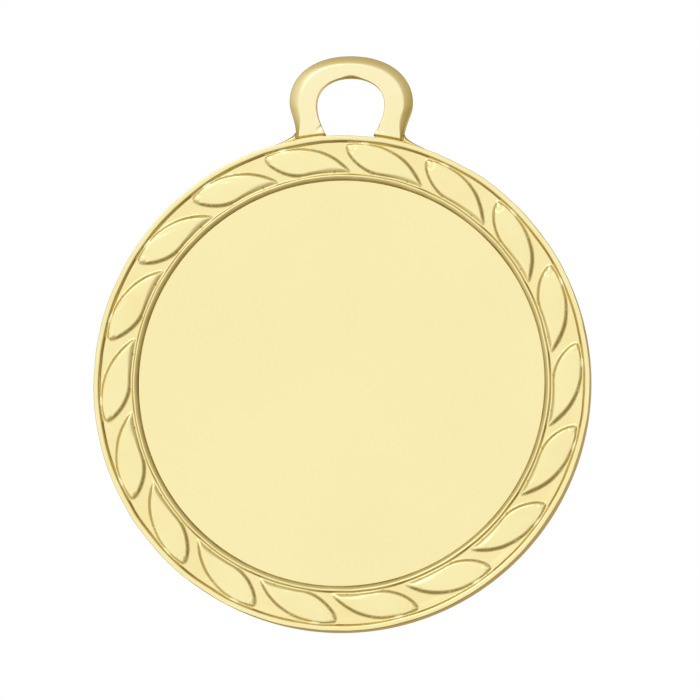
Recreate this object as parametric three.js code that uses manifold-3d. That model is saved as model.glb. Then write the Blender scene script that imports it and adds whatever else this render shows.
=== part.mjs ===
// A round award medal, 32 mm across, with a wreath border and a horseshoe hanging loop.
//
// The medal stands upright as it hangs: X runs to the right, Z runs up to the loop, and the
// front faces -Y. The origin is the centre of the flat back face. Heights are measured from
// the back face towards the front, so a height h lies at y = -h.

import * as THREE from 'three';
import { mergeVertices } from 'three/addons/utils/BufferGeometryUtils.js';
import Module from 'manifold-3d';

// ---------------------------------------------------------------- driving dimensions, mm
const MEDAL_RADIUS = 16;
const RIM_HEIGHT = 1.8; // the rim's crest above the back face, the medal's thickness
const RIM_CREST_WIDTH = 0.28;
const RIM_ROUNDING = 0.05;
const RIM_TAPER = 0.02; // the side wall leans in by this much towards the rim's crest
const RIM_TAPER_START = 0.95;
const BACK_EDGE_ROUNDING = 0.12;

const BORDER_FLOOR_HEIGHT = 1.54; // the wreath's ground
const BORDER_OUTER_RADIUS = 15.46; // where the ground meets the rim's inner slope

const BEAD_RADIUS = 13.36; // middle of the bead's crest
const BEAD_CREST_WIDTH = 0.1;
const BEAD_WIDTH = 0.3; // at the foot
const BEAD_HEIGHT = 1.74;

const RECESS_RADIUS = 13.1; // the seat of the centre disc
const RECESS_FLOOR_HEIGHT = 0.9;

const LEAF_COUNT = 18;
const LEAF_HEIGHT = 1.78;
const LEAF_SLOPE = 0.2; // how far the leaf's edge slopes in from foot to top
const FIRST_LEAF_ANGLE = -0.7; // degrees clockwise from the loop

const DISC_RADIUS = 13.05;
const DISC_HEIGHT = 1.5; // the disc's face above the back face
const DISC_THICKNESS = 0.5;
const DISC_EDGE_ROUNDING = 0.12;
const ADHESIVE_RADIUS = 12.4;

const LOOP_TOP = 21.22;
const LOOP_HALF_WIDTH = 3.98;
const LOOP_WIDEST_Z = 18.2;
const LOOP_FOOT_HALF_WIDTH = 3.44;
const HOLE_TOP = 19.78;
const HOLE_HALF_WIDTH = 2.2;
const HOLE_WIDEST_Z = 18;
const HOLE_FOOT_HALF_WIDTH = 1.55;
const LOOP_BACK_HEIGHT = 0.5;
const LOOP_FRONT_HEIGHT = 1.5;
const LOOP_SHOULDER_WIDTH = 0.55;
const LOOP_SHOULDER_DROP = 0.4;

const BRAZE_THICKNESS = 0.1; // the layer between a foot and the edge of the blank
const BRAZE_FLARE = 1.5; // how far the fillet runs out along the rim
const BRAZE_SETBACK = 0.05; // the fillet lies this far inside the loop's two faces

const FIT_GAP = 0.02; // between two pieces that touch

const ROUND_SEGMENTS = 120;
const CURVE_STEPS = 12;

// ---------------------------------------------------------------- solids
const wasm = await Module();
wasm.setup();

/** A closed geometry as a solid, with its shared vertices merged. */
function solidOf(geometry) {
  const bare = new THREE.BufferGeometry();
  bare.setAttribute('position', geometry.getAttribute('position').clone());
  if (geometry.index) bare.setIndex(geometry.index.clone());
  const merged = mergeVertices(bare, 1e-5);
  const mesh = new wasm.Mesh({
    numProp: 3,
    vertProperties: new Float32Array(merged.getAttribute('position').array),
    triVerts: new Uint32Array(merged.index.array),
  });
  return new wasm.Manifold(mesh);
}

/** A solid's triangles as a geometry again. */
function geometryOf(solid) {
  const mesh = solid.getMesh();
  const geometry = new THREE.BufferGeometry();
  geometry.setAttribute('position', new THREE.BufferAttribute(new Float32Array(mesh.vertProperties), 3));
  geometry.setIndex(new THREE.BufferAttribute(new Uint32Array(mesh.triVerts), 1));
  geometry.computeVertexNormals();
  return geometry;
}

/** A round piece turned about the medal's axis, from [radius, height] pairs that start and end on it. */
function turned(profile) {
  const points = profile.map(([radius, height]) => new THREE.Vector2(radius, -height));
  return new THREE.LatheGeometry(points.reverse(), ROUND_SEGMENTS);
}

/** A front outline (x, z) given depth: it runs from one height above the back face to another. */
function raised(shape, low, high, options = {}) {
  const geometry = new THREE.ExtrudeGeometry(shape, {
    depth: high - low,
    bevelEnabled: false,
    curveSegments: CURVE_STEPS,
    ...options,
  });
  geometry.translate(0, 0, low);
  geometry.rotateX(Math.PI / 2);
  return geometry;
}

function named(name, geometry, look) {
  const mesh = new THREE.Mesh(geometry, new THREE.MeshStandardMaterial(look));
  mesh.name = name;
  return mesh;
}

/** The point at an angle clockwise from the top, in degrees, and a radius. */
function onDial(degrees, radius) {
  const angle = THREE.MathUtils.degToRad(degrees);
  return new THREE.Vector2(radius * Math.sin(angle), radius * Math.cos(angle));
}

// ---------------------------------------------------------------- finishes
const PLATED_GOLD = { color: 0xf3e2a0, metalness: 1, roughness: 0.24 };
const LOOP_GOLD = { color: 0xf1dd97, metalness: 1, roughness: 0.2 };
const DISC_GOLD = { color: 0xf7e9b0, metalness: 1, roughness: 0.34 };
const BRAZED_GOLD = { color: 0xe9d48a, metalness: 1, roughness: 0.3 };
const ADHESIVE = { color: 0xe8e4d8, metalness: 0, roughness: 0.7 };

// ---------------------------------------------------------------- the struck blank
/** Rim, border ground, bead and recess, without the leaves. */
function plainBlank() {
  const rimOuter = MEDAL_RADIUS - RIM_TAPER;
  const rimInner = rimOuter - RIM_ROUNDING - RIM_CREST_WIDTH;
  return turned([
    [0, 0],
    [MEDAL_RADIUS - BACK_EDGE_ROUNDING, 0],
    [MEDAL_RADIUS, BACK_EDGE_ROUNDING],
    [MEDAL_RADIUS, RIM_TAPER_START],
    [rimOuter, RIM_HEIGHT - RIM_ROUNDING],
    [rimOuter - RIM_ROUNDING, RIM_HEIGHT],
    [rimInner, RIM_HEIGHT],
    [BORDER_OUTER_RADIUS, BORDER_FLOOR_HEIGHT],
    [BEAD_RADIUS + BEAD_WIDTH / 2, BORDER_FLOOR_HEIGHT],
    [BEAD_RADIUS + BEAD_CREST_WIDTH / 2, BEAD_HEIGHT],
    [BEAD_RADIUS - BEAD_CREST_WIDTH / 2, BEAD_HEIGHT],
    [RECESS_RADIUS, BORDER_FLOOR_HEIGHT],
    [RECESS_RADIUS, RECESS_FLOOR_HEIGHT],
    [0, RECESS_FLOOR_HEIGHT],
  ]);
}

/**
 * One leaf's outline, with its blunt outer tip at the dial's zero. The near edge falls steeply
 * to the bead and follows it to the sharp inner tip. The far edge is one arc back to the rim,
 * which it touches on its way to the outer tip.
 */
function leafOutline() {
  const outerTip = onDial(-0.35, 15.36);
  const nearEdgeSteer = onDial(0.15, 14.58);
  const bellySteer = onDial(4.2, 13.67);
  const bellyAngle = 9.4;
  const bellyRadius = 13.57;
  const innerTipAngle = 21.4;
  const farEdgeRadius = 4.52;
  const farEdgeCentre = onDial(4.24, 11.105);
  const tipShoulder = onDial(1.6, 15.6);

  const shape = new THREE.Shape();
  shape.moveTo(outerTip.x, outerTip.y);
  const belly = onDial(bellyAngle, bellyRadius);
  shape.bezierCurveTo(nearEdgeSteer.x, nearEdgeSteer.y, bellySteer.x, bellySteer.y, belly.x, belly.y);
  const bellySteps = 4;
  for (let step = 1; step <= bellySteps; step += 1) {
    const along = THREE.MathUtils.lerp(bellyAngle, innerTipAngle, step / bellySteps);
    const point = onDial(along, bellyRadius);
    shape.lineTo(point.x, point.y);
  }

  const angleTo = (point) => point.clone().sub(farEdgeCentre).angle();
  const startAngle = angleTo(onDial(innerTipAngle, bellyRadius));
  const endAngle = angleTo(tipShoulder);
  const arcSteps = 9;
  for (let step = 1; step <= arcSteps; step += 1) {
    const angle = THREE.MathUtils.lerp(startAngle, endAngle, step / arcSteps);
    const reach = new THREE.Vector2(Math.cos(angle), Math.sin(angle)).multiplyScalar(farEdgeRadius);
    shape.lineTo(farEdgeCentre.x + reach.x, farEdgeCentre.y + reach.y);
  }
  return shape;
}

/** One raised leaf, its foot sunk a little into the border's ground. */
function leaf(index) {
  const sunk = 0.2;
  const rise = LEAF_HEIGHT - BORDER_FLOOR_HEIGHT;
  const geometry = raised(leafOutline(), BORDER_FLOOR_HEIGHT - sunk, BORDER_FLOOR_HEIGHT, {
    bevelEnabled: true,
    bevelThickness: rise,
    bevelSize: LEAF_SLOPE,
    bevelOffset: -LEAF_SLOPE,
    bevelSegments: 1,
    curveSegments: 7,
  });
  const pitch = (2 * Math.PI) / LEAF_COUNT;
  geometry.rotateY(THREE.MathUtils.degToRad(FIRST_LEAF_ANGLE) + index * pitch);
  return geometry;
}

function medalBody() {
  let body = solidOf(plainBlank());
  for (let index = 0; index < LEAF_COUNT; index += 1) {
    body = body.add(solidOf(leaf(index)));
  }
  return named('medal_body', geometryOf(body), PLATED_GOLD);
}

// ---------------------------------------------------------------- the hanging loop
/** How full a quarter curve is: 0.55 is an ellipse, and a little more is squarer. */
const OUTER_FULLNESS = 0.6;
const HOLE_FULLNESS = 0.6;

/** Follows the loop's outer edge from the right foot over the top to the left foot. */
function drawOuterEdge(path, footZ) {
  const rise = LOOP_TOP - LOOP_WIDEST_Z;
  const reach = OUTER_FULLNESS * LOOP_HALF_WIDTH;
  const straightEnd = LOOP_WIDEST_Z - 1.1;
  path.moveTo(LOOP_FOOT_HALF_WIDTH, footZ);
  path.bezierCurveTo(
    LOOP_FOOT_HALF_WIDTH + 0.1, straightEnd,
    LOOP_HALF_WIDTH, straightEnd + 0.4,
    LOOP_HALF_WIDTH, LOOP_WIDEST_Z,
  );
  path.bezierCurveTo(
    LOOP_HALF_WIDTH, LOOP_WIDEST_Z + OUTER_FULLNESS * rise,
    reach, LOOP_TOP,
    0, LOOP_TOP,
  );
  path.bezierCurveTo(
    -reach, LOOP_TOP,
    -LOOP_HALF_WIDTH, LOOP_WIDEST_Z + OUTER_FULLNESS * rise,
    -LOOP_HALF_WIDTH, LOOP_WIDEST_Z,
  );
  path.bezierCurveTo(
    -LOOP_HALF_WIDTH, straightEnd + 0.4,
    -LOOP_FOOT_HALF_WIDTH - 0.1, straightEnd,
    -LOOP_FOOT_HALF_WIDTH, footZ,
  );
}

/** Follows the hole's edge from the left foot over the top to the right foot. */
function drawHoleEdge(path, footZ) {
  const rise = HOLE_TOP - HOLE_WIDEST_Z;
  const reach = HOLE_FULLNESS * HOLE_HALF_WIDTH;
  const waist = HOLE_WIDEST_Z - 0.7;
  path.lineTo(-HOLE_FOOT_HALF_WIDTH, footZ);
  path.bezierCurveTo(
    -HOLE_FOOT_HALF_WIDTH - 0.3, footZ + 0.55,
    -HOLE_HALF_WIDTH, waist,
    -HOLE_HALF_WIDTH, HOLE_WIDEST_Z,
  );
  path.bezierCurveTo(
    -HOLE_HALF_WIDTH, HOLE_WIDEST_Z + HOLE_FULLNESS * rise,
    -reach, HOLE_TOP,
    0, HOLE_TOP,
  );
  path.bezierCurveTo(
    reach, HOLE_TOP,
    HOLE_HALF_WIDTH, HOLE_WIDEST_Z + HOLE_FULLNESS * rise,
    HOLE_HALF_WIDTH, HOLE_WIDEST_Z,
  );
  path.bezierCurveTo(
    HOLE_HALF_WIDTH, waist,
    HOLE_FOOT_HALF_WIDTH + 0.3, footZ + 0.55,
    HOLE_FOOT_HALF_WIDTH, footZ,
  );
}

/** A plain round rod along the medal's axis, long enough to cut through every piece. */
function axialRod(radius) {
  const rod = new THREE.CylinderGeometry(radius, radius, 4 * RIM_HEIGHT, 6 * ROUND_SEGMENTS);
  return solidOf(rod);
}

function suspensionLoop() {
  const cutFootZ = 15.2; // below the feet, which the edge of the blank then trims
  const horseshoe = new THREE.Shape();
  drawOuterEdge(horseshoe, cutFootZ);
  drawHoleEdge(horseshoe, cutFootZ);
  const flat = solidOf(raised(horseshoe, LOOP_BACK_HEIGHT, LOOP_FRONT_HEIGHT));

  const silhouette = new THREE.Shape();
  drawOuterEdge(silhouette, cutFootZ - 2);
  const cushion = solidOf(raised(silhouette, -1, LOOP_FRONT_HEIGHT - LOOP_SHOULDER_DROP, {
    bevelEnabled: true,
    bevelThickness: LOOP_SHOULDER_DROP,
    bevelSize: LOOP_SHOULDER_WIDTH,
    bevelOffset: -LOOP_SHOULDER_WIDTH,
    bevelSegments: 3,
  }));

  const seat = axialRod(MEDAL_RADIUS + BRAZE_THICKNESS + 2 * FIT_GAP);
  return named('suspension_loop', geometryOf(flat.intersect(cushion).subtract(seat)), LOOP_GOLD);
}

/** The braze under one foot: a thin layer along the rim's edge, and a hollow flare beyond it. */
function brazeFillet(name, side) {
  const innerRadius = MEDAL_RADIUS + FIT_GAP;
  const outerRadius = innerRadius + BRAZE_THICKNESS;
  const angleAt = (x, radius) => THREE.MathUtils.radToDeg(Math.asin(x / radius));
  const holeAngle = angleAt(HOLE_FOOT_HALF_WIDTH + 0.1, innerRadius);
  const footX = LOOP_FOOT_HALF_WIDTH + 2 * FIT_GAP;
  const footAngle = angleAt(footX, outerRadius);
  const flareAngle = angleAt(footX + BRAZE_FLARE, innerRadius);
  const arcSteps = 8;

  const points = [];
  for (let step = 0; step <= arcSteps; step += 1) {
    points.push(onDial(THREE.MathUtils.lerp(holeAngle, flareAngle, step / arcSteps), innerRadius));
  }
  const flareTop = new THREE.Vector2(footX + 0.07, onDial(footAngle, outerRadius).y + 0.45);
  const corner = onDial(footAngle, outerRadius);
  const flare = new THREE.QuadraticBezierCurve(onDial(flareAngle, innerRadius), corner, flareTop);
  points.push(...flare.getPoints(arcSteps).slice(1));
  for (let step = 0; step <= arcSteps; step += 1) {
    points.push(onDial(THREE.MathUtils.lerp(footAngle, holeAngle, step / arcSteps), outerRadius));
  }
  const sided = points.map((point) => new THREE.Vector2(side * point.x, point.y));
  const shape = new THREE.Shape(sided);
  const low = LOOP_BACK_HEIGHT + BRAZE_SETBACK;
  const high = LOOP_FRONT_HEIGHT - BRAZE_SETBACK;
  return named(name, raised(shape, low, high), BRAZED_GOLD);
}

// ---------------------------------------------------------------- the centre
function centerDisc() {
  const back = DISC_HEIGHT - DISC_THICKNESS;
  return named('center_disc', turned([
    [0, back],
    [DISC_RADIUS, back],
    [DISC_RADIUS, DISC_HEIGHT - DISC_EDGE_ROUNDING],
    [DISC_RADIUS - DISC_EDGE_ROUNDING / 3, DISC_HEIGHT - DISC_EDGE_ROUNDING / 3],
    [DISC_RADIUS - DISC_EDGE_ROUNDING, DISC_HEIGHT],
    [0, DISC_HEIGHT],
  ]), DISC_GOLD);
}

function discAdhesive() {
  const low = RECESS_FLOOR_HEIGHT + FIT_GAP;
  const high = DISC_HEIGHT - DISC_THICKNESS - FIT_GAP;
  return named('disc_adhesive', turned([
    [0, low],
    [ADHESIVE_RADIUS, low],
    [ADHESIVE_RADIUS, high],
    [0, high],
  ]), ADHESIVE);
}

// ---------------------------------------------------------------- the medal
const medal = new THREE.Group();
medal.add(
  medalBody(),
  suspensionLoop(),
  brazeFillet('left_braze_fillet', -1),
  brazeFillet('right_braze_fillet', 1),
  centerDisc(),
  discAdhesive(),
);

export default medal;
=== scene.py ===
import math

import bpy
import numpy as np
from mathutils import Matrix, Vector, geometry


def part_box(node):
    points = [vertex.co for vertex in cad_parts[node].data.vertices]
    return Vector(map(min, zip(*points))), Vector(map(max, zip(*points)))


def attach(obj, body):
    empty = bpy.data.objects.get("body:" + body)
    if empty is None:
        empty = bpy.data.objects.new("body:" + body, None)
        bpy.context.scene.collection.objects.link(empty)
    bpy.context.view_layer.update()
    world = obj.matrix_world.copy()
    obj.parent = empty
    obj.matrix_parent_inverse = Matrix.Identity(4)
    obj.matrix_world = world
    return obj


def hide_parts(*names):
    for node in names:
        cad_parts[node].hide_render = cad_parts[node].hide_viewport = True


# A round award medal that hangs upright: X to the right, Z up to the loop, front facing -Y.
# The origin is the centre of the back face, so a height h above the back lies at y = -h.
# Shapes are worked out in millimetres and written into the meshes in metres.

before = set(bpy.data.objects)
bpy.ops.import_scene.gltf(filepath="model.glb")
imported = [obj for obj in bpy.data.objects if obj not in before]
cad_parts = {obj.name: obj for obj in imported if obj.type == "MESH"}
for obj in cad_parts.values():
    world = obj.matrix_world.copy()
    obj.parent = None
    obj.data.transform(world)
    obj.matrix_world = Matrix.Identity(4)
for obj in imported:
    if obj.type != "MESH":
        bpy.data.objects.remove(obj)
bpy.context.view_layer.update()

MM = 0.001
medal_low, medal_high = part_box("medal_body")
disc_low, disc_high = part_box("center_disc")
loop_low, loop_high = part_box("suspension_loop")

MEDAL_RADIUS = medal_high.x / MM
RIM_HEIGHT = -medal_low.y / MM
DISC_RADIUS = disc_high.x / MM
DISC_FACE = -disc_low.y / MM
DISC_BACK = -disc_high.y / MM
LOOP_TOP = loop_high.z / MM
LOOP_HALF_WIDTH = loop_high.x / MM
LOOP_BACK = -loop_high.y / MM
LOOP_FACE = -loop_low.y / MM

LEAF_COUNT = 18
PITCH = 360.0 / LEAF_COUNT       # degrees from one leaf to the next
FIRST_LEAF = -0.7                # its outer tip, in degrees clockwise from the top
LEAF_RISE = 0.2                  # from the wreath's ground to the top of a leaf's sloped edge
LEAF_SLOPE = 0.28                # how wide that edge is
GROUND = 1.54                    # the wreath's ground above the back face
RIM_FOOT = 15.45                 # the radius where the ground meets the rim
RIM_SLOPE = 0.25                 # how wide the rim's inner slope is
RIM_ROUND = 0.04                 # the rounding of its outer edge
BEAD_RADIUS = 13.37              # the crest of the bead round the disc's seat
BEAD_OUTER_WIDTH = 0.13          # from the crest out to the ground, steep
BEAD_INNER_WIDTH = 0.29          # and in to the seat, gentler
BEAD_RISE = 0.17
RECESS_RADIUS = 13.1             # the disc's seat
RECESS_FLOOR = 0.9
TAPER_START = 0.95               # the side wall leans in from this height up to the rim
TAPER = 0.02                     # and by this much
RELIEF_INNER = 13.15             # the relief patch runs from this radius
RELIEF_OUTER = 15.95             # to this one, and plain turned profiles go on from both


# ------------------------------------------------------------------ small helpers
def on_dial(degrees, radius):
    """Front-view point (x, z) at an angle clockwise from the top and a radius."""
    angle = np.radians(degrees)
    return np.stack([radius * np.sin(angle), radius * np.cos(angle)], axis=-1)


def ease(t):
    """A smooth step from 0 to 1."""
    t = np.clip(t, 0.0, 1.0)
    return t * t * (3.0 - 2.0 * t)


def smooth_max(a, b, reach):
    """The larger of two heights, with the crease between them filled over that reach."""
    blend = np.clip(0.5 + 0.5 * (a - b) / reach, 0.0, 1.0)
    return b + (a - b) * blend + reach * blend * (1.0 - blend)


def bezier(p0, p1, p2, p3, count):
    """Points along a cubic curve, the first included and the last left out."""
    t = np.linspace(0.0, 1.0, count, endpoint=False)[:, None]
    p0, p1, p2, p3 = (np.asarray(p, float) for p in (p0, p1, p2, p3))
    near_start = (1 - t) ** 3 * p0 + 3 * (1 - t) ** 2 * t * p1
    return near_start + 3 * (1 - t) * t ** 2 * p2 + t ** 3 * p3


def mesh_object(name, points, faces):
    """A new smooth-shaded mesh object from points in millimetres."""
    mesh = bpy.data.meshes.new(name)
    mesh.from_pydata((np.asarray(points, float) * MM).tolist(), [], faces)
    mesh.validate()
    mesh.update()
    made = bpy.data.objects.new(name, mesh)
    bpy.context.scene.collection.objects.link(made)
    mesh.shade_smooth()
    return made


# ------------------------------------------------------------------ camera
CAMERA_DISTANCE = 0.38           # metres from the point it looks at
CAMERA_LENS = 304.8              # focal length in millimetres
CAMERA_AIM = (0.00054, 0.00208)  # that point's X and Z on the front face
CAMERA_AZIMUTH = 5.8             # degrees to the right of straight ahead
CAMERA_ELEVATION = -6.2          # degrees, so a little from below
CAMERA_TURN = 1.93               # degrees that the medal appears turned


def place_camera():
    """The view is a little from the right and from below, with the medal turned slightly."""
    azimuth, elevation = math.radians(CAMERA_AZIMUTH), math.radians(CAMERA_ELEVATION)
    centre = Vector((CAMERA_AIM[0], medal_low.y, CAMERA_AIM[1]))
    back = Vector((
        math.sin(azimuth) * math.cos(elevation),
        -math.cos(azimuth) * math.cos(elevation),
        math.sin(elevation),
    ))
    data = bpy.data.cameras.new("studio_camera")
    data.lens = CAMERA_LENS
    data.clip_start = 0.005
    data.clip_end = 10
    camera = bpy.data.objects.new("studio_camera", data)
    bpy.context.scene.collection.objects.link(camera)
    camera.rotation_mode = "QUATERNION"
    facing = (-back).to_track_quat("-Z", "Y")
    turn = Matrix.Rotation(math.radians(CAMERA_TURN), 3, "Z").to_quaternion()
    camera.rotation_quaternion = facing @ turn
    camera.location = centre + back * CAMERA_DISTANCE
    bpy.context.scene.camera = camera


place_camera()


# ------------------------------------------------------------------ studio
# Soft round panels for the metal to reflect. Each has the direction it stands in, the angles from
# there at which it starts to fade and is gone, in degrees, and its colour. A dim warm surround lies
# under them all.
SURROUND = (0.33, 0.285, 0.19)
FRONT_PANEL = (-0.20, -0.95, 0.20)                         # a little to the upper left
SOFT_LIGHTS = (
    (FRONT_PANEL, 27, 48, (0.40, 0.445, 0.56)),            # the broad front panel
    (FRONT_PANEL, 48, 80, (0.30, 0.30, 0.28)),             # and its wide dim border
    ((-0.36, -0.76, 0.54), 6, 17, (0.80, 0.84, 1.02)),     # key light, high on the left
    ((-0.62, -0.66, -0.42), 10, 34, (0.12, 0.12, 0.12)),   # low fill from the left
    ((0.78, 0.58, -0.25), 18, 36, (0.60, 0.62, 0.66)),     # panel behind, for the back
    ((0.10, 0.98, -0.10), 30, 52, (0.22, 0.19, 0.12)),     # what the side wall picks up from behind
)
FLOOR_REACH = 4000               # half the floor's width, in millimetres
FLOOR_LEVEL = -48                # below the medal's centre, in millimetres


def soft_light(nodes, links, direction, axis, full, faded, colour):
    """One round panel in the world: its colour, fading with the angle from its axis."""
    towards = nodes.new("ShaderNodeVectorMath")
    towards.operation = "DOT_PRODUCT"
    towards.inputs[1].default_value = Vector(axis).normalized()
    fade = nodes.new("ShaderNodeMapRange")
    fade.interpolation_type = "SMOOTHSTEP"
    fade.inputs["From Min"].default_value = math.cos(math.radians(faded))
    fade.inputs["From Max"].default_value = math.cos(math.radians(full))
    shine = nodes.new("ShaderNodeVectorMath")
    shine.operation = "SCALE"
    shine.inputs[0].default_value = colour
    links.new(direction, towards.inputs[0])
    links.new(towards.outputs["Value"], fade.inputs["Value"])
    links.new(fade.outputs["Result"], shine.inputs["Scale"])
    return shine.outputs["Vector"]


def build_studio():
    """A white backdrop to the eye, soft panels for the metal to reflect, and a pale floor."""
    scene = bpy.context.scene
    scene.view_settings.view_transform = "Standard"
    world = bpy.data.worlds.new("studio_world")
    scene.world = world
    world.use_nodes = True
    nodes, links = world.node_tree.nodes, world.node_tree.links
    nodes.clear()
    output = nodes.new("ShaderNodeOutputWorld")
    backdrop = nodes.new("ShaderNodeBackground")
    backdrop.inputs["Color"].default_value = (1, 1, 1, 1)
    panels = nodes.new("ShaderNodeBackground")
    choice = nodes.new("ShaderNodeMixShader")
    path = nodes.new("ShaderNodeLightPath")
    coords = nodes.new("ShaderNodeTexCoord")
    total = None
    for light in SOFT_LIGHTS:
        shine = soft_light(nodes, links, coords.outputs["Generated"], *light)
        gather = nodes.new("ShaderNodeVectorMath")
        gather.operation = "ADD"
        if total is None:
            gather.inputs[0].default_value = SURROUND
        else:
            links.new(total, gather.inputs[0])
        links.new(shine, gather.inputs[1])
        total = gather.outputs["Vector"]
    links.new(total, panels.inputs["Color"])
    links.new(path.outputs["Is Camera Ray"], choice.inputs["Fac"])
    links.new(panels.outputs["Background"], choice.inputs[1])
    links.new(backdrop.outputs["Background"], choice.inputs[2])
    links.new(choice.outputs["Shader"], output.inputs["Surface"])

    corners = [(x * FLOOR_REACH, y * FLOOR_REACH, FLOOR_LEVEL)
               for x, y in ((-1, -1), (1, -1), (1, 1), (-1, 1))]
    floor = mesh_object("studio_floor", corners, [(0, 1, 2, 3)])
    floor.visible_glossy = False
    paint = bpy.data.materials.new("studio_floor_paint")
    paint.use_nodes = True
    shader = paint.node_tree.nodes["Principled BSDF"]
    shader.inputs["Base Color"].default_value = (0.2, 0.2, 0.2, 1)
    shader.inputs["Roughness"].default_value = 0.9
    shader.inputs["Emission Color"].default_value = (1, 1, 1, 1)
    shader.inputs["Emission Strength"].default_value = 0.95
    floor.data.materials.append(paint)


build_studio()


# ------------------------------------------------------------------ finishes
def add(nodes, kind, **values):
    """A node with its named sockets or properties set."""
    node = nodes.new(kind)
    for key, value in values.items():
        if key in node.inputs:
            node.inputs[key].default_value = value
        else:
            setattr(node, key, value)
    return node


def add_range(nodes, links, value, start, end, to_start=0.0, to_end=1.0, smooth=False):
    """Takes a value from one range to another, held at both ends."""
    node = nodes.new("ShaderNodeMapRange")
    if smooth:
        node.interpolation_type = "SMOOTHSTEP"
    node.inputs["From Min"].default_value = start
    node.inputs["From Max"].default_value = end
    node.inputs["To Min"].default_value = to_start
    node.inputs["To Max"].default_value = to_end
    links.new(value, node.inputs["Value"])
    return node.outputs["Result"]


def add_shade(nodes, links, colour, amount, shade):
    """Darkens a colour by a shade, as far as the amount says."""
    node = nodes.new("ShaderNodeMix")
    node.data_type = "RGBA"
    node.blend_type = "MULTIPLY"
    node.inputs["B"].default_value = (*shade, 1)
    links.new(amount, node.inputs["Factor"])
    links.new(colour, node.inputs["A"])
    return node.outputs["Result"]


def paint_relief_shade(nodes, links, coords, colour, painted_ground_shade, painted_slope_shade, slopes_above, steep_at):
    """
    Paints shade into the colour: painted shade on the wreath's low ground, where a ground shade is
    given, and painted shade on the slopes that lie above a height on the front, fully once the
    front-facing share of their normal is down to steep_at.
    """
    place = nodes.new("ShaderNodeSeparateXYZ")
    links.new(coords.outputs["Object"], place.inputs["Vector"])
    depth = place.outputs["Y"]
    if painted_ground_shade:
        # Painted shade on the wreath's low ground between the raised leaves, bead and rim.
        on_ground = add_range(nodes, links, depth, -(GROUND + 0.14) * MM, -(GROUND + 0.02) * MM)
        colour = add_shade(nodes, links, colour, on_ground, painted_ground_shade)

    # Painted shade on the steep slopes, darker the further they turn from the front.
    facing = nodes.new("ShaderNodeSeparateXYZ")
    links.new(coords.outputs["Normal"], facing.inputs["Vector"])
    nearly_flat = -0.97
    steepness = add_range(nodes, links, facing.outputs["Y"], nearly_flat, -steep_at, smooth=True)
    in_relief = add_range(nodes, links, depth, -slopes_above * MM, -(slopes_above + 0.1) * MM)
    amount = nodes.new("ShaderNodeMath")
    amount.operation = "MULTIPLY"
    links.new(steepness, amount.inputs[0])
    links.new(in_relief, amount.inputs[1])
    return add_shade(nodes, links, colour, amount.outputs["Value"], painted_slope_shade)


POLISH_SCALE = 900.0             # patches of uneven polish to the metre
PIT_SCALE = 1300.0               # cells to the metre, each with at most one pit
PIT_INSIDE, PIT_EDGE = 0.03, 0.12     # a pit's floor and lip, as shares of a cell


def plated_gold(name, pale, deep, roughness, spread, grain_mm, grain_depth, pit_depth,
                tone_mm=4.0, painted_relief_shade=None):
    """
    Gold plating: a slow shift between a pale and a deep tone, uneven polish, fine grain and a few
    small pits, and, when asked for, painted shade on the low ground and steep slopes. Depths and the
    sizes of the grain and the tone's patches are in millimetres.
    """
    material = bpy.data.materials.new(name)
    material.use_nodes = True
    nodes, links = material.node_tree.nodes, material.node_tree.links
    shader = nodes["Principled BSDF"]
    shader.inputs["Metallic"].default_value = 1.0
    shader.inputs["Specular Tint"].default_value = (0.8, 0.7, 0.5, 1)
    shader.inputs["IOR"].default_value = 1.45
    coords = nodes.new("ShaderNodeTexCoord")
    place = coords.outputs["Object"]

    tone = add(nodes, "ShaderNodeTexNoise", Scale=1.0 / (tone_mm * MM), Detail=3.0, Roughness=0.55)
    links.new(place, tone.inputs["Vector"])
    tone_mix = nodes.new("ShaderNodeMix")
    tone_mix.data_type = "RGBA"
    tone_mix.inputs["A"].default_value = (*deep, 1)
    tone_mix.inputs["B"].default_value = (*pale, 1)
    links.new(add_range(nodes, links, tone.outputs["Fac"], 0.25, 0.6), tone_mix.inputs["Factor"])
    colour = tone_mix.outputs["Result"]
    # Painted shade on the low ground and the steep slopes, when asked for.
    if painted_relief_shade:
        colour = paint_relief_shade(nodes, links, coords, colour, **painted_relief_shade)
    links.new(colour, shader.inputs["Base Color"])

    polish = add(nodes, "ShaderNodeTexNoise", Scale=POLISH_SCALE, Detail=2.0)
    links.new(place, polish.inputs["Vector"])
    uneven = add_range(nodes, links, polish.outputs["Fac"], 0.0, 1.0,
                       roughness - spread, roughness + spread)
    links.new(uneven, shader.inputs["Roughness"])

    grain = add(nodes, "ShaderNodeTexNoise", Scale=1.0 / (grain_mm * MM), Detail=4.0, Roughness=0.6)
    pits = add(nodes, "ShaderNodeTexVoronoi", Scale=PIT_SCALE)
    links.new(place, grain.inputs["Vector"])
    links.new(place, pits.inputs["Vector"])
    grain_bump = add(nodes, "ShaderNodeBump", Strength=1.0, Distance=grain_depth * MM)
    pit_bump = add(nodes, "ShaderNodeBump", Strength=1.0, Distance=pit_depth * MM)
    links.new(grain.outputs["Fac"], grain_bump.inputs["Height"])
    links.new(add_range(nodes, links, pits.outputs["Distance"], PIT_INSIDE, PIT_EDGE),
              pit_bump.inputs["Height"])
    links.new(grain_bump.outputs["Normal"], pit_bump.inputs["Normal"])
    links.new(pit_bump.outputs["Normal"], shader.inputs["Normal"])
    return material


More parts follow.
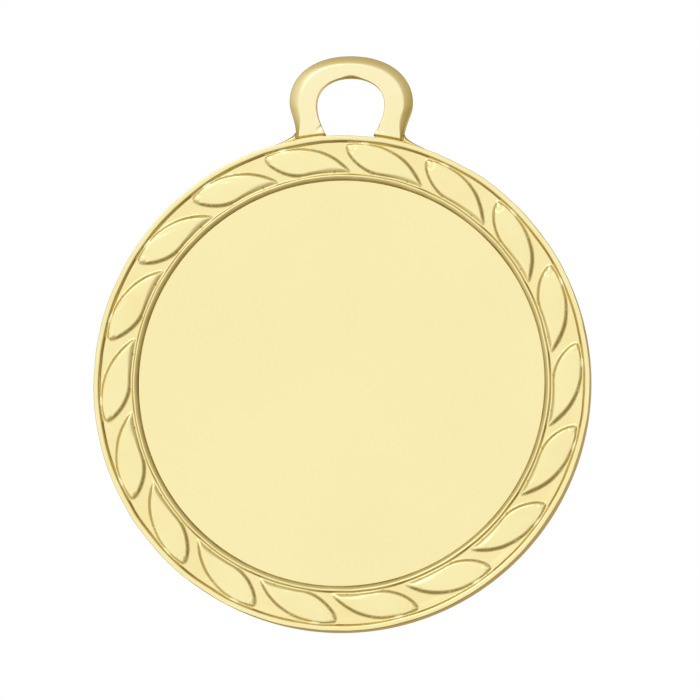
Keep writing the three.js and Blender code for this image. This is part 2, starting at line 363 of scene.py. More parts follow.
def adhesive_layer(name):
    """Milky acrylic adhesive with a faint mottle."""
    material = bpy.data.materials.new(name)
    material.use_nodes = True
    nodes, links = material.node_tree.nodes, material.node_tree.links
    shader = nodes["Principled BSDF"]
    coords = nodes.new("ShaderNodeTexCoord")
    mottle = add(nodes, "ShaderNodeTexNoise", Scale=700.0, Detail=3.0)
    tint = nodes.new("ShaderNodeMix")
    tint.data_type = "RGBA"
    tint.inputs["A"].default_value = (0.68, 0.65, 0.56, 1)
    tint.inputs["B"].default_value = (0.76, 0.73, 0.65, 1)
    bump = nodes.new("ShaderNodeBump")
    bump.inputs["Distance"].default_value = 0.01 * MM
    shader.inputs["Roughness"].default_value = 0.65
    links.new(coords.outputs["Object"], mottle.inputs["Vector"])
    links.new(mottle.outputs["Fac"], tint.inputs["Factor"])
    links.new(tint.outputs["Result"], shader.inputs["Base Color"])
    links.new(mottle.outputs["Fac"], bump.inputs["Height"])
    links.new(bump.outputs["Normal"], shader.inputs["Normal"])
    return material


STRUCK_PALE, STRUCK_DEEP = (0.94, 0.835, 0.44), (0.915, 0.79, 0.385)
LOOP_PALE, LOOP_DEEP = (0.965, 0.87, 0.53), (0.945, 0.84, 0.47)
DISC_PALE, DISC_DEEP = (0.955, 0.85, 0.46), (0.935, 0.825, 0.43)
BRAZE_DEEP = (0.88, 0.74, 0.34)
# Painted shade settings. The struck finish gets painted shade on the wreath's low ground and on its
# steep slopes. The loop's finish gets it only on its steep shoulder slopes.
STRUCK_PAINTED_SHADE = {"painted_ground_shade": (0.99, 0.975, 0.94), "painted_slope_shade": (0.78, 0.71, 0.59),
                 "slopes_above": 1.42, "steep_at": 0.62}
LOOP_PAINTED_SHADE = {"painted_ground_shade": None, "painted_slope_shade": (0.9, 0.81, 0.58),
               "slopes_above": 0.95, "steep_at": 0.86}

struck_gold = plated_gold(
    "struck_gold_plating_painted_shade", STRUCK_PALE, STRUCK_DEEP, roughness=0.2, spread=0.05,
    grain_mm=0.12, grain_depth=0.0006, pit_depth=0.0015, painted_relief_shade=STRUCK_PAINTED_SHADE)
loop_gold = plated_gold(
    "tumbled_gold_plating_painted_shade", LOOP_PALE, LOOP_DEEP, roughness=0.27, spread=0.06,
    grain_mm=0.15, grain_depth=0.0006, pit_depth=0.002, painted_relief_shade=LOOP_PAINTED_SHADE)
disc_gold = plated_gold(
    "satin_disc_gold", DISC_PALE, DISC_DEEP, roughness=0.3, spread=0.04,
    grain_mm=0.1, grain_depth=0.0004, pit_depth=0.0008, tone_mm=16.0)
braze_gold = plated_gold(
    "brazed_gold_plating", STRUCK_DEEP, BRAZE_DEEP, roughness=0.24, spread=0.06,
    grain_mm=0.2, grain_depth=0.002, pit_depth=0.002)
milky_adhesive = adhesive_layer("milky_adhesive")


# ------------------------------------------------------------------ the struck blank
def leaf_outline():
    """
    The middle line of one leaf's sloped edge in front view, its blunt outer tip at the dial's zero,
    and how wide the slope is at each point. The near edge falls to the bead and follows it to the
    sharp inner tip. The far edge is one arc back, which touches the rim's slope before the tip.
    """
    belly_angle, belly_radius = 10.4, 13.62          # where the near edge reaches the bead
    inner_tip_angle = 20.85
    far_centre, far_radius = on_dial(4.24, 11.105), 4.42
    tip_low = on_dial(0.02, 15.26)
    belly = on_dial(belly_angle, belly_radius)
    near_edge = bezier(tip_low, on_dial(0.15, 14.7), on_dial(4.5, 13.55), belly, 36)
    along_bead = on_dial(np.linspace(belly_angle, inner_tip_angle, 36, endpoint=False), belly_radius)

    inner_tip = on_dial(inner_tip_angle, belly_radius)
    shoulder = on_dial(3.6, 15.522)
    start = math.atan2(*(inner_tip - far_centre)[::-1])
    end = math.atan2(*(shoulder - far_centre)[::-1])
    turn = np.linspace(start, end, 60, endpoint=False)
    far_edge = far_centre + far_radius * np.stack([np.cos(turn), np.sin(turn)], axis=-1)
    tip_high = on_dial(0.3, 15.405)
    tip_top = bezier(shoulder, on_dial(2.4, 15.52), on_dial(1.2, 15.465), tip_high, 12)
    tip_round = bezier(tip_high, on_dial(0.1, 15.39), on_dial(0.0, 15.365), tip_low, 5)
    outline = np.concatenate([near_edge, along_bead, far_edge, tip_top, tip_round])

    widths = np.full(len(outline), LEAF_SLOPE)
    widths[-len(tip_top) - len(tip_round):] *= 0.8   # the blunt tip's edge is a little steeper
    return outline, widths


LEAF, LEAF_SLOPES = leaf_outline()


def inset_from_leaf(points, turn):
    """How deep each point lies inside the leaf turned by that angle, and its edge's slope width."""
    angle = math.radians(turn)
    spin = np.array([[math.cos(angle), -math.sin(angle)], [math.sin(angle), math.cos(angle)]])
    outline = LEAF @ spin
    ends = np.roll(outline, -1, axis=0)
    along = ends - outline
    offset = points[:, None, :] - outline[None]
    share = np.clip((offset * along).sum(-1) / (along * along).sum(-1), 0.0, 1.0)
    gap = np.hypot(*np.moveaxis(offset - share[..., None] * along, -1, 0))
    nearest = gap.argmin(axis=1)
    rows = np.arange(len(points))
    slopes = LEAF_SLOPES[nearest]
    crosses = (outline[None, :, 1] > points[:, None, 1]) != (ends[None, :, 1] > points[:, None, 1])
    climb = np.where(np.abs(along[:, 1]) < 1e-12, 1e-12, along[:, 1])
    level = (points[:, None, 1] - outline[None, :, 1]) * (along[:, 0] / climb)[None]
    crossing = outline[None, :, 0] + level
    inside = (crosses & (points[:, None, 0] < crossing)).sum(axis=1) % 2 == 1
    return np.where(inside, gap[rows, nearest], -gap[rows, nearest]), slopes


DOME_RISE, DOME_REACH = 0.055, 0.42   # a leaf's soft top above its edge, and how far in it climbs
ROLL_DEPTH = 0.055               # how far the leaf rolls down to the bead, near its inner tip
CURL_DEPTH, CURL_RADIUS = 0.035, 0.2  # the small ring pressed in at the outer tip
CREASE_DEPTH = 0.015             # the faint crease beside the far edge


def leaf_height(points, turn):
    """
    The height that one leaf gives each point: a sloped edge and a soft dome, rolled down along the
    bead, with a curl at the outer tip and a crease along the far edge.
    """
    inset, slope = inset_from_leaf(points, turn)
    on_leaf = ease((inset + slope * 0.5) / slope)
    dome = DOME_RISE * (1.0 - np.exp(-np.maximum(inset - slope * 0.3, 0.0) / DOME_REACH))
    height = GROUND + LEAF_RISE * on_leaf + dome

    radius = np.hypot(points[:, 0], points[:, 1])
    degrees = np.degrees(np.arctan2(points[:, 0], points[:, 1])) - turn
    across = np.radians(degrees) * radius
    roll = ROLL_DEPTH * (1.0 - ease((radius - 13.66) / 0.34)) * ease((degrees - 9.5) / 7.0)
    height = height - roll * on_leaf

    from_curl = np.hypot(across - 0.34, radius - 15.12) - CURL_RADIUS
    curl = CURL_DEPTH * np.exp(-(from_curl / 0.1) ** 2)
    height = height - curl * ease(inset / 0.15) * ease((0.55 - inset) / 0.25)

    crease_across, crease_out = across - 2.35, radius - 15.09
    along = crease_across * 0.92 - crease_out * 0.4
    beside = crease_out + crease_across * 0.44 + 0.05 * crease_across ** 2
    return height - CREASE_DEPTH * np.exp(-(along / 0.7) ** 2 - (beside / 0.1) ** 2)


BRIDGE_RISE = 0.17
BRIDGE_ANGLE, BRIDGE_RADIUS = 4.7, 15.53
BRIDGE_HALF_ANGLE, BRIDGE_HALF_WIDTH = 1.6, 0.16


def leaf_bridge(points, turn):
    """Metal that joins the top of a leaf to the rim."""
    radius = np.hypot(points[:, 0], points[:, 1])
    degrees = np.degrees(np.arctan2(points[:, 0], points[:, 1])) - turn
    sideways = ((degrees - BRIDGE_ANGLE) / BRIDGE_HALF_ANGLE) ** 4
    outwards = ((radius - BRIDGE_RADIUS) / BRIDGE_HALF_WIDTH) ** 4
    return GROUND + BRIDGE_RISE * np.exp(-sideways - outwards)


def border_height(points):
    """The struck front between the bead and the rim's outer edge, above the back face."""
    radius = np.hypot(points[:, 0], points[:, 1])
    past_crest = np.clip((radius - (MEDAL_RADIUS - TAPER - RIM_ROUND)) / RIM_ROUND, 0.0, 1.0)
    fall = RIM_ROUND * (1.0 - np.sqrt(1.0 - past_crest ** 2))
    rim = GROUND + (RIM_HEIGHT - GROUND) * ease((radius - RIM_FOOT) / RIM_SLOPE) - fall
    outward = np.clip((radius - BEAD_RADIUS) / BEAD_OUTER_WIDTH, 0.0, 1.0)
    inward = np.clip((BEAD_RADIUS - radius) / BEAD_INNER_WIDTH, 0.0, 1.0)
    bead = GROUND + BEAD_RISE * np.sqrt(1.0 - outward ** 2) * (1.0 - inward ** 1.3)
    leaves = np.max([leaf_height(points, step * PITCH) for step in (-2, -1, 0, 1)], axis=0)
    bridge = np.max([leaf_bridge(points, step * PITCH) for step in (-1, 0, 1)], axis=0)
    ground = GROUND + 0.06 * ease((radius - 14.9) / 0.55)      # a touch higher towards the rim
    height = smooth_max(np.maximum(bead, ground), leaves, 0.02)
    height = smooth_max(height, bridge, 0.03)
    height = smooth_max(height, rim, 0.03)
    return np.minimum(height, RIM_HEIGHT - fall)


WEDGE_START = -3.0               # the wedge's first edge, degrees from the leaf's outer tip
EDGE_COLUMNS = 40                # steps along the wedge's inner and outer arcs
UNROLL_RADIUS = 14.6             # the relief is laid out flat at this radius for spacing its points
BEAD_BAND = (13.52, 13.56)       # close rings of points cover the bead up to here, then wider ones
RIM_BAND = (15.36, 15.38)        # end there, and close ones cover the rim's slope from here
RING_STEP, WIDE_RING_STEP = 0.036, 0.05
FILLING_ROWS = (13.58, 15.42, 0.08)   # rows of points between the two bands
FILLING_STEP = 0.095
LEAF_LINE_INSETS = (0.0, -0.038, 0.04, -0.077, 0.08, -0.125, 0.125, 0.17, 0.22, 0.28)
LINE_CLEARANCE, RING_CLEARANCE, FILLING_CLEARANCE = 0.036, 0.034, 0.066


def wedge_points():
    """Points of one wedge's relief, in (degrees, radius): crowded along every struck edge."""
    arc_degrees = WEDGE_START + np.linspace(0.0, PITCH, EDGE_COLUMNS + 1)
    ring_radii = np.concatenate([
        np.arange(RELIEF_INNER, BEAD_BAND[0], RING_STEP),
        np.arange(BEAD_BAND[1], RIM_BAND[0], WIDE_RING_STEP),
        np.arange(RIM_BAND[1], 15.66, RING_STEP),
        [15.72, 15.8, 15.88, 15.925, RELIEF_OUTER],
    ])
    border = []
    for degrees in arc_degrees:
        border.append((degrees, RELIEF_INNER))
        border.append((degrees, RELIEF_OUTER))
    for radius in ring_radii[1:-1]:
        border.append((arc_degrees[0], radius))
        border.append((arc_degrees[-1], radius))

    rings = [(degrees, radius) for radius in ring_radii[1:-1]
             if not BEAD_BAND[0] < radius < RIM_BAND[0] for degrees in arc_degrees[1:-1]]

    tangent = np.roll(LEAF, -1, axis=0) - np.roll(LEAF, 1, axis=0)
    tangent /= np.hypot(tangent[:, 0], tangent[:, 1])[:, None]
    inward = np.stack([tangent[:, 1], -tangent[:, 0]], axis=-1)
    bead_foot = BEAD_RADIUS + BEAD_OUTER_WIDTH
    leaf_lines = []
    for inset in LEAF_LINE_INSETS:
        moved = LEAF + inward * inset
        depth, _ = inset_from_leaf(moved, 0.0)
        moved = moved[np.abs(depth - inset) < 0.012]     # drops what folds over at a sharp tip
        moved = moved[np.hypot(moved[:, 0], moved[:, 1]) > bead_foot + 0.042]
        degrees = np.degrees(np.arctan2(moved[:, 0], moved[:, 1]))
        radius = np.hypot(moved[:, 0], moved[:, 1])
        wrapped = WEDGE_START + (degrees - WEDGE_START) % PITCH
        leaf_lines += list(zip(wrapped, radius))

    filling = []
    for row, radius in enumerate(np.arange(*FILLING_ROWS)):
        step = math.degrees(FILLING_STEP / radius)
        first = arc_degrees[0] + step * (0.5 + 0.5 * (row % 2))      # every other row is staggered
        filling += [(degrees, radius) for degrees in np.arange(first, arc_degrees[-1], step)]

    kept = []
    cells = {}
    cell = 0.1

    def place(degrees, radius, clearance):
        """Keeps a point unless one already kept lies within its clearance."""
        x, y = math.radians(degrees) * UNROLL_RADIUS, radius
        column, line = int(x // cell), int(y // cell)
        for i in range(column - 1, column + 2):
            for j in range(line - 1, line + 2):
                for other_x, other_y in cells.get((i, j), ()):
                    if (other_x - x) ** 2 + (other_y - y) ** 2 < clearance ** 2:
                        return
        cells.setdefault((column, line), []).append((x, y))
        kept.append((degrees, radius))

    margin = math.degrees(0.03 / UNROLL_RADIUS)
    low, high = arc_degrees[0] + margin, arc_degrees[-1] - margin
    near, far = RELIEF_INNER + 0.02, RELIEF_OUTER - 0.02
    for degrees, radius in border:
        place(degrees, radius, 1e-6)
    groups = ((leaf_lines, LINE_CLEARANCE), (rings, RING_CLEARANCE), (filling, FILLING_CLEARANCE))
    for group, clearance in groups:
        for degrees, radius in group:
            if low < degrees < high and near < radius < far:
                place(degrees, radius, clearance)
    return np.array(kept), arc_degrees, ring_radii


def blank_wedge():
    """One leaf's wedge of the whole blank, front, edge, back and recess, as a mesh."""
    dial, arc_degrees, ring_radii = wedge_points()
    flat = np.stack([np.radians(dial[:, 0]) * UNROLL_RADIUS, dial[:, 1]], axis=-1)
    index_of = {(round(d, 6), round(r, 6)): i for i, (d, r) in enumerate(dial)}

    def find(degrees, radius):
        return index_of[(round(degrees, 6), round(radius, 6))]

    outside = [find(d, RELIEF_INNER) for d in arc_degrees]
    outside += [find(arc_degrees[-1], r) for r in ring_radii[1:]]
    outside += [find(d, RELIEF_OUTER) for d in arc_degrees[-2::-1]]
    outside += [find(arc_degrees[0], r) for r in ring_radii[-2:0:-1]]
    edges = [(outside[i], outside[(i + 1) % len(outside)]) for i in range(len(outside))]
    _, _, faces, origin, _, _ = geometry.delaunay_2d_cdt(
        [Vector(p) for p in flat], edges, [], 1, 1e-7)
    source = [items[0] for items in origin]
    dial = dial[source]
    front = on_dial(dial[:, 0], dial[:, 1])
    height = border_height(front)
    points = [(x, -h, z) for (x, z), h in zip(front, height)]
    triangles = [tuple(f) for f in faces]
    new_index = {old: new for new, old in enumerate(source)}

    between_leaves = -1.5
    shoulder_radii = np.array([15.964, 15.974])
    shoulder_heights = border_height(on_dial(np.full(2, between_leaves), shoulder_radii))
    shoulder = list(zip(shoulder_radii, shoulder_heights))
    back_round = 0.14
    back_edge = [(MEDAL_RADIUS - back_round * (1 - math.cos(a)), back_round * (1 - math.sin(a)))
                 for a in np.linspace(0.0, math.pi / 2, 5)]
    wall_top, wall_steps = RIM_HEIGHT - RIM_ROUND, 4
    wall_step = (wall_top - TAPER_START) / wall_steps
    wall = [(MEDAL_RADIUS - TAPER * (1 - step / wall_steps) ** 1.1, wall_top - wall_step * step)
            for step in range(wall_steps + 1)]
    outer_profile = shoulder + wall + [(MEDAL_RADIUS, 0.5)] + back_edge
    outer_profile += [(15.5, 0.0), (13.0, 0.0), (9.0, 0.0), (4.5, 0.0)]
    corner = 0.05
    inner_profile = [(RECESS_RADIUS + 0.015, 1.56), (RECESS_RADIUS, 1.53), (RECESS_RADIUS, 1.46),
                     (RECESS_RADIUS, 1.2), (RECESS_RADIUS, RECESS_FLOOR + corner),
                     (RECESS_RADIUS - corner, RECESS_FLOOR), (10.0, RECESS_FLOOR), (5.0, RECESS_FLOOR)]

    def sweep(start_row, profile, outward):
        """Rows of faces from one row of points along a turned profile, closed at the axis."""
        row = start_row
        for radius, level in profile:
            base = len(points)
            points.extend((x, -level, z) for x, z in on_dial(arc_degrees, radius))
            new_row = list(range(base, base + len(arc_degrees)))
            for i in range(len(arc_degrees) - 1):
                quad = (row[i], row[i + 1], new_row[i + 1], new_row[i])
                triangles.append(quad if outward else quad[::-1])
            row = new_row
        centre = len(points)
        points.append((0.0, -profile[-1][1], 0.0))
        for i in range(len(arc_degrees) - 1):
            fan = (row[i], row[i + 1], centre)
            triangles.append(fan if outward else fan[::-1])

    sweep([new_index[find(d, RELIEF_OUTER)] for d in arc_degrees], outer_profile, True)
    sweep([new_index[find(d, RELIEF_INNER)] for d in arc_degrees], inner_profile, False)
    return mesh_object("blank_wedge", points, triangles)


def repeat_tree():
    """Repeats a wedge round the medal's axis, joins the copies and makes the strike uneven."""
    tree = bpy.data.node_groups.new("wreath_blank", "GeometryNodeTree")
    interface = tree.interface
    interface.new_socket("Wedge", in_out="INPUT", socket_type="NodeSocketGeometry")
    for label, kind, value in (
        ("Leaf Count", "NodeSocketInt", LEAF_COUNT),
        ("First Leaf", "NodeSocketFloat", math.radians(FIRST_LEAF)),
        ("Sideways Drift", "NodeSocketFloat", 0.03 * MM),
        ("Height Drift", "NodeSocketFloat", 0.012 * MM),
        ("Weld Distance", "NodeSocketFloat", 0.002 * MM),
    ):
        interface.new_socket(label, in_out="INPUT", socket_type=kind).default_value = value
    interface.new_socket("Finish", in_out="INPUT", socket_type="NodeSocketMaterial")
    interface.new_socket("Blank", in_out="OUTPUT", socket_type="NodeSocketGeometry")
    nodes, links = tree.nodes, tree.links
    given, result = nodes.new("NodeGroupInput"), nodes.new("NodeGroupOutput")

    spots = nodes.new("GeometryNodePoints")
    spots.inputs["Position"].default_value = (0, 0, 0)
    links.new(given.outputs["Leaf Count"], spots.inputs["Count"])
    number = nodes.new("GeometryNodeInputIndex")
    pitch = nodes.new("ShaderNodeMath")
    pitch.operation = "DIVIDE"
    pitch.inputs[0].default_value = 2 * math.pi
    links.new(given.outputs["Leaf Count"], pitch.inputs[1])
    turn = nodes.new("ShaderNodeMath")
    turn.operation = "MULTIPLY_ADD"
    links.new(number.outputs["Index"], turn.inputs[0])
    links.new(pitch.outputs["Value"], turn.inputs[1])
    links.new(given.outputs["First Leaf"], turn.inputs[2])
    axis = nodes.new("ShaderNodeCombineXYZ")
    links.new(turn.outputs["Value"], axis.inputs["Y"])
    copies = nodes.new("GeometryNodeInstanceOnPoints")
    links.new(spots.outputs[0], copies.inputs["Points"])
    links.new(given.outputs["Wedge"], copies.inputs["Instance"])
    links.new(axis.outputs["Vector"], copies.inputs["Rotation"])
    real = nodes.new("GeometryNodeRealizeInstances")
    links.new(copies.outputs["Instances"], real.inputs["Geometry"])
    weld = nodes.new("GeometryNodeMergeByDistance")
    links.new(real.outputs["Geometry"], weld.inputs["Geometry"])
    links.new(given.outputs["Weld Distance"], weld.inputs["Distance"])

    place = nodes.new("GeometryNodeInputPosition")
    drift = nodes.new("ShaderNodeTexNoise")
    drift.inputs["Scale"].default_value = 420.0
    drift.inputs["Detail"].default_value = 2.0
    links.new(place.outputs["Position"], drift.inputs["Vector"])
    centred = nodes.new("ShaderNodeVectorMath")
    centred.operation = "SUBTRACT"
    centred.inputs[1].default_value = (0.5, 0.5, 0.5)
    links.new(drift.outputs["Color"], centred.inputs[0])
    amount = nodes.new("ShaderNodeCombineXYZ")
    for side in ("X", "Z"):
        links.new(given.outputs["Sideways Drift"], amount.inputs[side])
    links.new(given.outputs["Height Drift"], amount.inputs["Y"])
    # The noise seldom leaves its middle half, so this brings its swing to about the whole drift.
    widened = nodes.new("ShaderNodeVectorMath")
    widened.operation = "SCALE"
    widened.inputs["Scale"].default_value = 4.0
    links.new(amount.outputs["Vector"], widened.inputs[0])
    offset = nodes.new("ShaderNodeVectorMath")
    offset.operation = "MULTIPLY"
    links.new(centred.outputs["Vector"], offset.inputs[0])
    links.new(widened.outputs["Vector"], offset.inputs[1])

    split = nodes.new("ShaderNodeSeparateXYZ")
    links.new(place.outputs["Position"], split.inputs["Vector"])
    drift_from, drift_full = -1.2 * MM, -1.4 * MM      # only the front drifts, not the seat or the wall
    on_front = add_range(nodes, links, split.outputs["Y"], drift_from, drift_full, smooth=True)
    faded = nodes.new("ShaderNodeVectorMath")
    faded.operation = "SCALE"
    links.new(offset.outputs["Vector"], faded.inputs[0])
    links.new(on_front, faded.inputs["Scale"])
    moved = nodes.new("GeometryNodeSetPosition")
    links.new(weld.outputs["Geometry"], moved.inputs["Geometry"])
    links.new(faded.outputs["Vector"], moved.inputs["Offset"])

    coat = nodes.new("GeometryNodeSetMaterial")
    links.new(moved.outputs["Geometry"], coat.inputs["Geometry"])
    links.new(given.outputs["Finish"], coat.inputs["Material"])
    links.new(coat.outputs["Geometry"], result.inputs["Blank"])
    return tree


def plain_copy(source, name, tree, inputs):
    """The object that a geometry tree makes of another, as a plain mesh. The source is removed."""
    modifier = source.modifiers.new(tree.name, "NODES")
    modifier.node_group = tree
    for socket in tree.interface.items_tree:
        if socket.item_type == "SOCKET" and socket.in_out == "INPUT" and socket.name in inputs:
            modifier[socket.identifier] = inputs[socket.name]
    bpy.context.view_layer.update()
    evaluated = source.evaluated_get(bpy.context.evaluated_depsgraph_get())
    mesh = bpy.data.meshes.new_from_object(evaluated)
    source.modifiers.remove(modifier)
    made = bpy.data.objects.new(name, mesh)
    mesh.name = name
    bpy.context.scene.collection.objects.link(made)
    bpy.data.objects.remove(source)
    mesh.shade_smooth()
    return made


def make_struck_blank():
    blank = plain_copy(blank_wedge(), "struck_blank", repeat_tree(), {"Finish": struck_gold})
    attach(blank, "root")
    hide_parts("medal_body")


make_struck_blank()


# ------------------------------------------------------------------ the hanging loop
LOOP_SEAT = MEDAL_RADIUS + 0.14  # the feet end on this circle, over the braze
FOOT_OUTER, FOOT_INNER = 3.44, 1.55   # the feet's outer and inner corners, out from the middle
LOOP_WIDEST = 18.2               # the height at which the loop is widest
HOLE_WIDEST, HOLE_TOP, HOLE_HALF_WIDTH = 18.0, 19.78, 2.2
CROWN_FULLNESS = 0.6             # how round both crowns are


def loop_edges(count):
    """Matching points of the loop's outer and inner edge, from the left foot to the right foot."""
    def seat_height(x):
        return math.sqrt(LOOP_SEAT ** 2 - x ** 2)

    def crown(half, widest, top):
        rise = top - widest
        return bezier((-half, widest), (-half, widest + CROWN_FULLNESS * rise),
                      (-CROWN_FULLNESS * half, top), (0, top), 40)

    bend = LOOP_WIDEST - 1.1
    foot = seat_height(FOOT_OUTER)
    outer_leg = bezier((-FOOT_OUTER, foot), (-FOOT_OUTER - 0.1, bend),
                       (-LOOP_HALF_WIDTH, bend + 0.4), (-LOOP_HALF_WIDTH, LOOP_WIDEST), 40)
    outer_top = crown(LOOP_HALF_WIDTH, LOOP_WIDEST, LOOP_TOP)

    foot = seat_height(FOOT_INNER)
    inner_leg = bezier((-FOOT_INNER, foot), (-FOOT_INNER - 0.3, foot + 0.5),
                       (-HOLE_HALF_WIDTH, HOLE_WIDEST - 0.7), (-HOLE_HALF_WIDTH, HOLE_WIDEST), 40)
    inner_top = crown(HOLE_HALF_WIDTH, HOLE_WIDEST, HOLE_TOP)

    def resample(leg, top, end):
        """The left half at that many points, and its mirror image."""
        line = np.concatenate([leg, top, [end]])
        step = np.hypot(*np.diff(line, axis=0).T)
        far = np.concatenate([[0], np.cumsum(step)])
        t = np.linspace(0, 1, count)
        spread = far[-1] * (0.55 * t + 0.45 * t * t)      # closer together towards the foot
        half_line = np.stack([np.interp(spread, far, side) for side in line.T], axis=-1)
        other = half_line[::-1] * (-1, 1)
        return np.concatenate([half_line, other[1:]])

    return resample(outer_leg, outer_top, (0, LOOP_TOP)), resample(inner_leg, inner_top, (0, HOLE_TOP))


FOOT_END_DROP, FOOT_END_REACH = 0.07, 0.09      # how the face rounds down at the foot ends
DENT_DEPTH = 0.1
DENT_OUT, DENT_UP = 1.95, 16.45  # the dent in each foot, out from the middle and up


def loop_face_drop(place):
    """How far the loop's face lies below its full height: rounded foot ends, and a dent in each."""
    reach = np.hypot(place[:, 0], place[:, 1]) - LOOP_SEAT
    drop = FOOT_END_DROP * (1 - ease(reach / FOOT_END_REACH))
    outward = np.abs(place[:, 0]) - DENT_OUT
    dent = np.hypot(outward / 0.17, (place[:, 1] - DENT_UP + outward) / 0.12)
    return drop + DENT_DEPTH * np.exp(-dent ** 2)


def make_hanging_loop():
    """
    The horseshoe: a flat face, a wide soft outer shoulder and a nearly sharp hole edge, which is
    rounder at the top, where the ribbon's ring rests.
    """
    outer, inner = loop_edges(84)
    count = len(outer)
    share = np.linspace(-1, 1, count)                # from the left foot to the right one
    width = np.hypot(*(outer - inner).T)
    inward = (inner - outer) / width[:, None]

    foot_fade = ease((1 - np.abs(share)) / 0.35)
    left_swell = 0.18 * np.exp(-((share + 0.5) / 0.25) ** 2)
    right_swell = 0.05 * np.exp(-((share - 0.45) / 0.25) ** 2)
    shoulder = (0.58 + left_swell + right_swell) * (0.3 + 0.7 * foot_fade)
    drop = 0.28 * (0.5 + 0.5 * foot_fade)            # how far the shoulder falls at the outer edge
    worn = 0.035 + 0.13 * np.exp(-(share / 0.07) ** 2)
    rows = []

    def row(from_outer, height, on_face=0.0):
        """One line of points round the loop, that far in from its outer edge and that high."""
        place = outer + inward * np.asarray(from_outer)[:, None]
        level = np.broadcast_to(height, (count,)) - on_face * loop_face_drop(place)
        rows.append(np.stack([place[:, 0], -level, place[:, 1]], axis=-1))

    zero = np.zeros(count)
    back_round, hole_back_round = 0.18, 0.45
    shoulder_steps = (0.0, 0.04, 0.1, 0.18, 0.28, 0.4, 0.52, 0.64, 0.76, 0.88, 1.0)
    flat_steps = (0.05, 0.15, 0.3, 0.45, 0.6, 0.7, 0.8, 0.9, 1.0)
    quarter = np.linspace(0, math.pi / 2, 5)
    for a in quarter:
        row(zero + back_round * (1 - math.sin(a)), LOOP_BACK + back_round * (1 - math.cos(a)))
    row(zero, LOOP_FACE - drop - 0.16, 0.3)
    for t in shoulder_steps:
        row(shoulder * t, LOOP_FACE - drop * (1 - t) ** 1.2, 0.4 + 0.6 * t)
    flat = width - worn - 0.02 - shoulder
    for t in flat_steps:
        row(shoulder + flat * t, LOOP_FACE, 1.0)
    row(width - worn, LOOP_FACE - 0.006, 1.0)
    row(width - worn * 0.5, LOOP_FACE - worn * 0.3, 1.0)
    row(width, LOOP_FACE - worn * 0.9, 1.0)
    row(width, (LOOP_FACE + LOOP_BACK) / 2)
    for a in quarter:
        row(width - hole_back_round * (1 - math.cos(a)),
            LOOP_BACK + hole_back_round * (1 - math.sin(a)))
    row((width + back_round) / 2, LOOP_BACK)

    grid = np.array(rows).transpose(1, 0, 2)
    for end in (0, -1):                              # both feet end on the seat's circle
        grid[end, :, 2] = np.sqrt(LOOP_SEAT ** 2 - grid[end, :, 0] ** 2)
    ring = len(rows)
    faces = []
    for i in range(count - 1):
        for j in range(ring):
            k = (j + 1) % ring
            faces.append((i * ring + j, i * ring + k, (i + 1) * ring + k, (i + 1) * ring + j))
    faces.append(tuple(range(ring))[::-1])
    faces.append(tuple(range((count - 1) * ring, count * ring)))
    loop = mesh_object("hanging_loop", grid.reshape(-1, 3), faces)
    loop.data.materials.append(loop_gold)
    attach(loop, "root")
    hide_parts("suspension_loop")


make_hanging_loop()


# ------------------------------------------------------------------ the centre disc
def turned_mesh(name, profile, segments):
    """A closed round piece from (radius, height) pairs that start and end on the axis."""
    degrees = np.linspace(0, 360, segments, endpoint=False)
    points, faces = [(0.0, -profile[0][1], 0.0)], []
    previous = None
    for radius, level in profile[1:-1]:
        base = len(points)
        points.extend((x, -level, z) for x, z in on_dial(degrees, radius))
        for i in range(segments):
            j = (i + 1) % segments
            if previous is None:
                faces.append((0, base + i, base + j))
            else:
                faces.append((previous + j, previous + i, base + i, base + j))
        previous = base
    points.append((0.0, -profile[-1][1], 0.0))
    tip = len(points) - 1
    faces.extend((previous + (i + 1) % segments, previous + i, tip) for i in range(segments))
    return mesh_object(name, points, faces)


def make_center_disc():
    """The plain disc, with a rounded front edge and a small bevel behind."""
    edge = 0.04
    radius_out = DISC_RADIUS + 0.045     # sprung hard against the wall of its seat
    rounding = [(radius_out - edge * (1 - math.sin(a)), DISC_FACE - edge * (1 - math.cos(a)))
                for a in np.linspace(math.pi / 2, 0, 7)]
    rings = [(radius, DISC_FACE) for radius in np.arange(12.6, 0.5, -0.9)]
    profile = [(0, DISC_BACK), (radius_out - edge, DISC_BACK), (radius_out, DISC_BACK + edge),
               *rounding, (radius_out - edge - 0.02, DISC_FACE), *rings, (0, DISC_FACE)]
    disc = turned_mesh("center_blank", profile, 240)
    disc.data.materials.append(disc_gold)
    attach(disc, "root")
    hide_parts("center_disc")


make_center_disc()


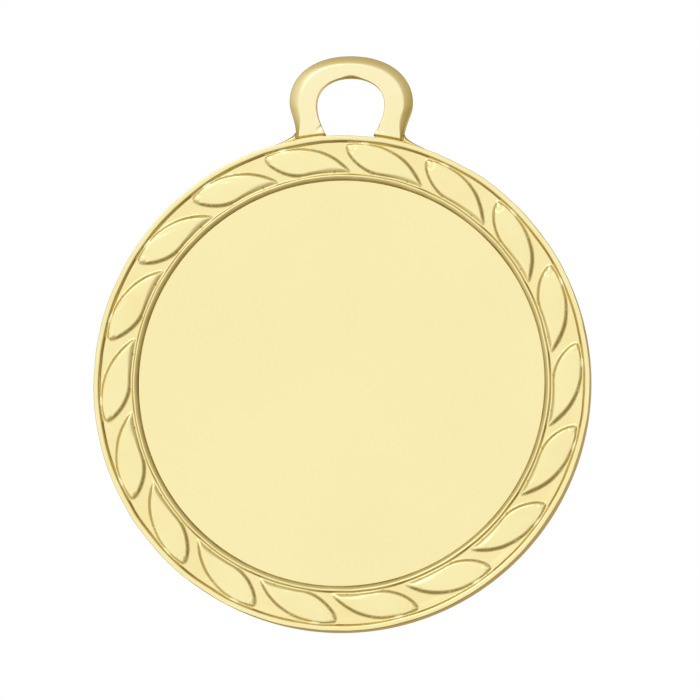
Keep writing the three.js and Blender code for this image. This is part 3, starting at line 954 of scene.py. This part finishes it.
# ------------------------------------------------------------------ the braze under the feet
def make_braze(name, node, side):
    """One foot's braze: a thin layer along the rim, with a hollow rounded flare beyond the foot."""
    low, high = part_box(node)
    back, face = -high.y / MM, -low.y / MM
    near, far = sorted((abs(low.x) / MM, abs(high.x) / MM))
    peak = high.z / MM
    rim_radius = MEDAL_RADIUS + 0.02
    layer_radius = rim_radius + 0.1                  # the thin layer's top, under the foot
    corner = FOOT_OUTER + 0.04
    corner_z = math.sqrt(layer_radius ** 2 - corner ** 2)
    peak_x = corner + 0.07                           # the flare climbs the foot's side to here
    far_z = math.sqrt(rim_radius ** 2 - far ** 2)
    flare = bezier((peak_x, peak), (peak_x + 0.06, corner_z + 0.22), (peak_x + 0.28, corner_z),
                   (far, far_z), 26)
    under = [(x, math.sqrt(layer_radius ** 2 - x * x)) for x in np.linspace(near, corner, 22)]
    tops = under + [(corner + 0.03, corner_z + 0.24)] + [tuple(p) for p in flare]
    tops = [(x, max(z, math.sqrt(rim_radius ** 2 - x * x) + 0.012)) for x, z in tops]
    points, faces = [], []
    steps = np.linspace(0, math.pi / 2, 6)
    for x, top in tops:
        bottom = math.sqrt((rim_radius - 0.06) ** 2 - x * x)
        curve = min(0.26, 0.6 * (top - bottom))      # the rounding of its front edge
        section = [(bottom, back), (bottom, face - 0.02)]
        section += [(top - curve + curve * math.sin(a), face - curve * 0.9 * (1 - math.cos(a)))
                    for a in steps]
        section += [(top, back)]
        points.extend((side * x, -level, z) for z, level in section)
    ring = len(section)
    for i in range(len(tops) - 1):
        for j in range(ring):
            k = (j + 1) % ring
            quad = (i * ring + j, i * ring + k, (i + 1) * ring + k, (i + 1) * ring + j)
            faces.append(quad if side < 0 else quad[::-1])
    caps = [tuple(range(ring))[::-1], tuple(range((len(tops) - 1) * ring, len(tops) * ring))]
    faces.extend(caps if side < 0 else [cap[::-1] for cap in caps])
    braze = mesh_object(name, points, faces)
    braze.data.materials.append(braze_gold)
    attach(braze, "root")
    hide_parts(node)


make_braze("left_braze", "left_braze_fillet", -1)
make_braze("right_braze", "right_braze_fillet", 1)


# ------------------------------------------------------------------ carried-over piece
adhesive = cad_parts["disc_adhesive"]
adhesive.data.materials.clear()
adhesive.data.materials.append(milky_adhesive)
